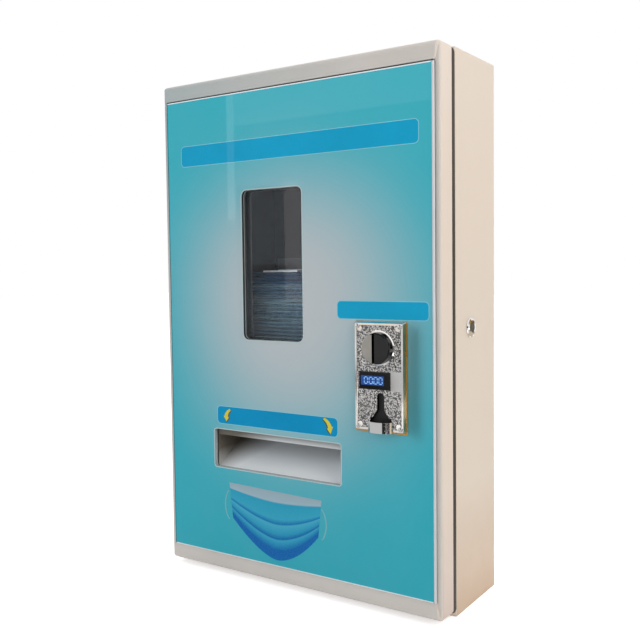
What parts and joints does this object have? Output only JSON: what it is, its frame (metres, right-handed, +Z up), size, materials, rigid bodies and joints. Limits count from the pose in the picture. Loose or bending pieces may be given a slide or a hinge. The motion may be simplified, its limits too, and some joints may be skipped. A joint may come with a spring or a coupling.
{
  "type": "face mask vending machine",
  "caption": "Upright wall cabinet with a hinged glossy door, viewing window, coin selector and mask exit; packed masks feed from an inner stack.",
  "frame": {"origin": "on the base plane, midway across the cabinet and midway between the wall face and the coin return cup", "axes": "+Z up; -Y is the door and the user's side, +Y the wall; +X to the right of someone facing the door"},
  "size_m": [0.4051, 0.1746, 0.6468],
  "materials": {
    "powder_coat": "warm white powder coat",
    "frame_coat": "light grey coat, satin",
    "inner_steel": "zinc plated sheet",
    "white_sheet": "white coat",
    "front_print": "glossy printed acrylic, teal fading to pale grey",
    "clear_pane": "clear",
    "chrome": "polished, hammered on the selector's field",
    "black_gloss": "gloss",
    "black_plastic": "matt",
    "mask_pack": "stack of film packed masks",
    "rubber": "matt",
    "bronze": "machined",
    "gear_plastic": "moulded",
    "circuit_board": "green board with dark parts"
  },
  "bodies": {
    "cabinet": {"cabinet_shell": "powder_coat", "lock_housing": "chrome", "lock_nut": "inner_steel", "magazine": "inner_steel", "dispenser_base": "inner_steel", "exit_tray": "white_sheet", "shaft_bush_left": "bronze", "shaft_bush_right": "bronze", "gear_motor": "inner_steel", "motor_bracket": "inner_steel", "coin_box": "white_sheet", "control_board": "circuit_board", "board_standoff_lower_left": "bronze", "board_standoff_lower_right": "bronze", "board_standoff_upper_left": "bronze", "board_standoff_upper_right": "bronze", "power_supply": "inner_steel", "cable_grommet": "rubber", "hinge_lower_cabinet_leaf": "inner_steel", "hinge_upper_cabinet_leaf": "inner_steel", "hinge_lower_pin": "inner_steel", "hinge_upper_pin": "inner_steel", "mask_stack": "mask_pack"},
    "door": {"door_frame": "frame_coat", "door_panel": "white_sheet", "front_panel": "front_print", "window_pane": "clear_pane", "pane_retainer": "black_plastic", "lock_catch": "inner_steel", "coin_faceplate": "chrome", "entry_cheek": "chrome", "display_module": "black_gloss", "selector_body": "black_plastic", "coin_chute": "inner_steel", "hinge_lower_door_leaf": "inner_steel", "hinge_upper_door_leaf": "inner_steel"},
    "return_button": {"return_button": "black_gloss"},
    "lock": {"lock_plug": "chrome", "lock_cam": "inner_steel"},
    "follower": {"follower_weight": "inner_steel"},
    "feed": {"feed_shaft": "inner_steel", "drive_gear": "gear_plastic", "feed_roller_left": "rubber", "feed_roller_right": "rubber"},
    "pinion": {"motor_pinion": "bronze"}
  },
  "joints": [
    {"name": "door_hinge", "type": "hinge", "parent": "cabinet", "child": "door", "pos_m": [-0.197, -0.0354, 0.0068], "axis": [0, 0, -1], "range_deg": [0, 105]},
    {"name": "return_press", "type": "slide", "parent": "door", "child": "return_button", "axis": [0, 1, 0], "range_m": [0, 0.004], "stiffness_N_per_m": 300},
    {"name": "lock_turn", "type": "hinge", "parent": "cabinet", "child": "lock", "pos_m": [0.2, 0.01005, 0.3308], "axis": [1, 0, 0], "range_deg": [0, 90]},
    {"name": "follower_drop", "type": "slide", "parent": "cabinet", "child": "follower", "axis": [0, 0, -1], "range_m": [0, 0.15], "deforming": ["mask_stack"]},
    {"name": "feed_turn", "type": "hinge", "parent": "cabinet", "child": "feed", "pos_m": [-0.02425, 0.03725, 0.1895], "axis": [1, 0, 0], "continuous": true},
    {"name": "pinion_turn", "type": "hinge", "parent": "cabinet", "child": "pinion", "pos_m": [0.07845, 0.03725, 0.1545], "axis": [1, 0, 0], "continuous": true}
  ],
  "couplings": [
    {"joint": "pinion_turn", "follows": "feed_turn", "ratio": -2.5}
  ]
}
